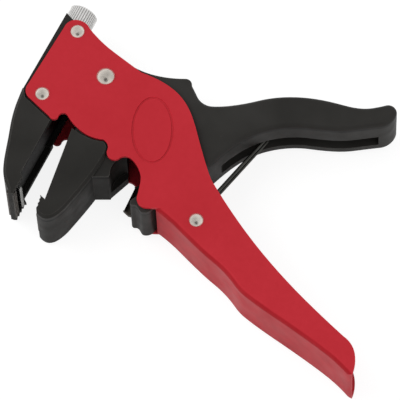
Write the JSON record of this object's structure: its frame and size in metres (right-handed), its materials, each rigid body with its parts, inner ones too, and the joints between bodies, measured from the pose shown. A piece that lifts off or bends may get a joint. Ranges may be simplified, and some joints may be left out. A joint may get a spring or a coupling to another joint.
{
  "type": "duckbill wire stripper",
  "caption": "Self-adjusting duckbill wire stripper with a red folded channel frame, black toothed jaws, a spring-opened black lever and a throat cutter.",
  "frame": {"origin": "under the middle of the bounding box, on the surface the tool lies on", "axes": "+X to the right and +Y up in the plan view of the tool with its head at the top left, +Z through its thickness, towards the main rivet's domed head"},
  "size_m": [0.131, 0.1384, 0.0243],
  "materials": {
    "red_paint": "red stoved enamel, semi-gloss",
    "black_jaw": "black powder coat over a casting, satin",
    "black_handle": "black powder coat over a casting, satin",
    "dark_steel": "hardened, dull",
    "blade_steel": "ground",
    "black_steel": "blackened strip",
    "plated_steel": "zinc plated",
    "nickel": "nickel plated",
    "spring_wire": "drawn wire",
    "knob_metal": "fine straight knurl"
  },
  "bodies": {
    "frame": {"red_frame": "red_paint", "upper_jaw": "black_jaw", "upper_grip_pad": "dark_steel", "pivot_rivet": "nickel", "small_rivets": "nickel", "pivot_bush": "plated_steel", "spring_sleeve": "plated_steel", "spring_anchor_feet": "spring_wire"},
    "lever": {"lever_handle": "black_handle", "draw_pin": "plated_steel", "cutter_blade": "blade_steel", "cutter_blade_screws": "plated_steel"},
    "jaw": {"lower_jaw": "black_jaw", "lower_grip_pad": "dark_steel"},
    "upper_slide": {"upper_blade_arm": "black_steel", "upper_blade": "blade_steel", "upper_blade_rivets": "plated_steel"},
    "lower_slide": {"lower_blade_arm": "black_steel", "lower_blade": "blade_steel", "lower_blade_rivets": "plated_steel"},
    "spring_loop": {"return_spring": "spring_wire"},
    "knob": {"tension_knob": "knob_metal", "tension_screw": "plated_steel"},
    "nut": {"tension_nut": "plated_steel", "tension_spring": "spring_wire"}
  },
  "joints": [
    {"name": "lever_turn", "type": "hinge", "parent": "frame", "child": "lever", "pos_m": [-0.03196, 0.0382, 0.0116], "axis": [0, 0, 1], "range_deg": [-20.5, 0], "stiffness_Nm_per_rad": 1.5, "springref_deg": 8.59},
    {"name": "jaw_turn", "type": "hinge", "parent": "frame", "child": "jaw", "pos_m": [-0.03196, 0.0382, 0.0116], "axis": [0, 0, 1], "range_deg": [-9.4, 0]},
    {"name": "upper_draw", "type": "slide", "parent": "frame", "child": "upper_slide", "axis": [0.4368, 0.8996, 0], "range_m": [0, 0.00499]},
    {"name": "lower_draw", "type": "slide", "parent": "jaw", "child": "lower_slide", "axis": [0.3074, 0.9516, 0], "range_m": [0, 0.00271]},
    {"name": "spring_turn", "type": "hinge", "parent": "frame", "child": "spring_loop", "pos_m": [-0.00106, -0.0144, 0.0116], "axis": [0, 0, 1], "range_deg": [-48.8, 0]},
    {"name": "knob_turn", "type": "hinge", "parent": "frame", "child": "knob", "pos_m": [-0.04222, 0.06282, 0.0116], "axis": [0.4368, 0.8996, 0], "range_deg": [0, 720]},
    {"name": "nut_draw", "type": "slide", "parent": "frame", "child": "nut", "axis": [0.4368, 0.8996, 0], "range_m": [0, 0.0014]}
  ],
  "couplings": [
    {"joint": "jaw_turn", "follows": "lever_turn", "ratio": 0.4585},
    {"joint": "upper_draw", "follows": "lever_turn", "m_per_rad": -0.01392},
    {"joint": "lower_draw", "follows": "lever_turn", "m_per_rad": -0.007546},
    {"joint": "spring_turn", "follows": "lever_turn", "ratio": 2.38},
    {"joint": "nut_draw", "follows": "knob_turn", "m_per_rad": 0.0000796}
  ]
}
